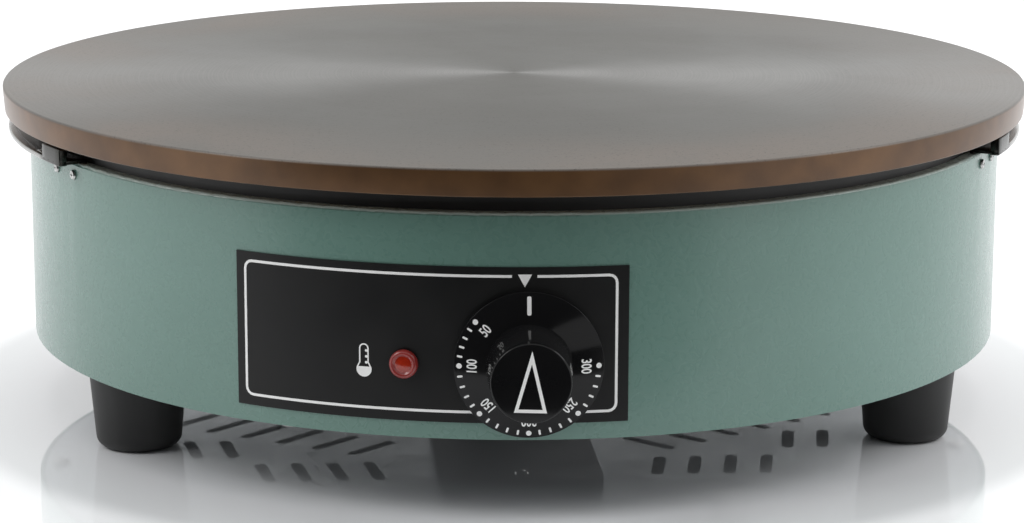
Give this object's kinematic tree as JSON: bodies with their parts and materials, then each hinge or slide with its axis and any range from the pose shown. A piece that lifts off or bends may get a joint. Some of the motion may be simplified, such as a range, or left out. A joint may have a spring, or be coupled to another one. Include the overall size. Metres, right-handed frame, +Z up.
{
  "type": "electric crepe maker",
  "caption": "Round electric crepe maker: cast griddle plate over an enamelled drum on feet, with side grips, a control label, a pilot lamp and a turning thermostat knob.",
  "frame": {"origin": "on the drum's axis, in the plane that the feet stand on", "axes": "+Z up, -Y towards the side with the knob and label, +X to the right seen from the front"},
  "size_m": [0.3998, 0.4189, 0.1267],
  "materials": {
    "cast_iron": "machined and seasoned cast iron, browner on the rim",
    "enamel": "grey-green hammered enamel, semi-gloss",
    "zinc_sheet": "zinc-coated sheet",
    "black_sheet": "matt black heat-proof coating",
    "mineral_wool": "matt wool board",
    "ceramic": "glazed ceramic",
    "element_steel": "heat-darkened steel sheath",
    "label_black": "satin black printed label",
    "knob_black": "glossy black moulding with white dial marks",
    "phenolic": "dark phenolic moulding",
    "lamp_red": "clear red lens",
    "gland_black": "black nylon",
    "foot_black": "matt black rubber",
    "copper": "bare copper tube",
    "grip_steel": "bright pressed steel",
    "steel": "zinc-plated fasteners",
    "wire_brown": "brown wire insulation",
    "wire_blue": "blue wire insulation",
    "wire_green": "green and yellow wire insulation"
  },
  "bodies": {
    "base": {"base_plate": "zinc_sheet", "base_screws": "steel", "block_screws": "steel", "bulb_clip": "steel", "cable_gland": "gland_black", "capillary": "copper", "clamp_bar_1": "steel", "clamp_bar_2": "steel", "clamp_bar_3": "steel", "clamp_nuts": "steel", "clamp_studs": "steel", "clip_screws": "steel", "control_label": "label_black", "cover_screws": "steel", "drum": "enamel", "earth_nut": "steel", "earth_stud": "steel", "element_inner": "element_steel", "element_outer": "element_steel", "foot_left": "foot_black", "foot_nuts": "steel", "foot_rear": "foot_black", "foot_right": "foot_black", "foot_screws": "steel", "foot_washers": "steel", "gap_ring": "black_sheet", "gland_nut": "gland_black", "griddle_plate": "cast_iron", "grip_left": "grip_steel", "grip_nuts": "steel", "grip_right": "grip_steel", "grip_screws": "steel", "heat_pan": "black_sheet", "insulation": "mineral_wool", "lamp_body": "phenolic", "lamp_lens": "lamp_red", "lamp_nut": "phenolic", "leg_bushes": "ceramic", "link_back": "steel", "link_front": "steel", "link_nuts": "steel", "pillar_1": "steel", "pillar_2": "steel", "pillar_3": "steel", "pillar_4": "steel", "pillar_bolts": "steel", "sensor_bulb": "steel", "terminal_block": "ceramic", "thermostat": "phenolic", "thermostat_screws": "steel", "underside_cover": "black_sheet", "wire_earth": "wire_green", "wire_heater": "wire_brown", "wire_lamp_return": "wire_blue", "wire_lamp_supply": "wire_brown", "wire_return": "wire_blue", "wire_supply": "wire_brown"},
    "knob": {"knob": "knob_black", "spindle": "steel"}
  },
  "joints": [
    {"name": "knob_turn", "type": "hinge", "parent": "base", "child": "knob", "pos_m": [-0.00961, -0.18976, 0.0572], "axis": [0.0506, 0.9987, 0], "range_deg": [0, 270]}
  ]
}
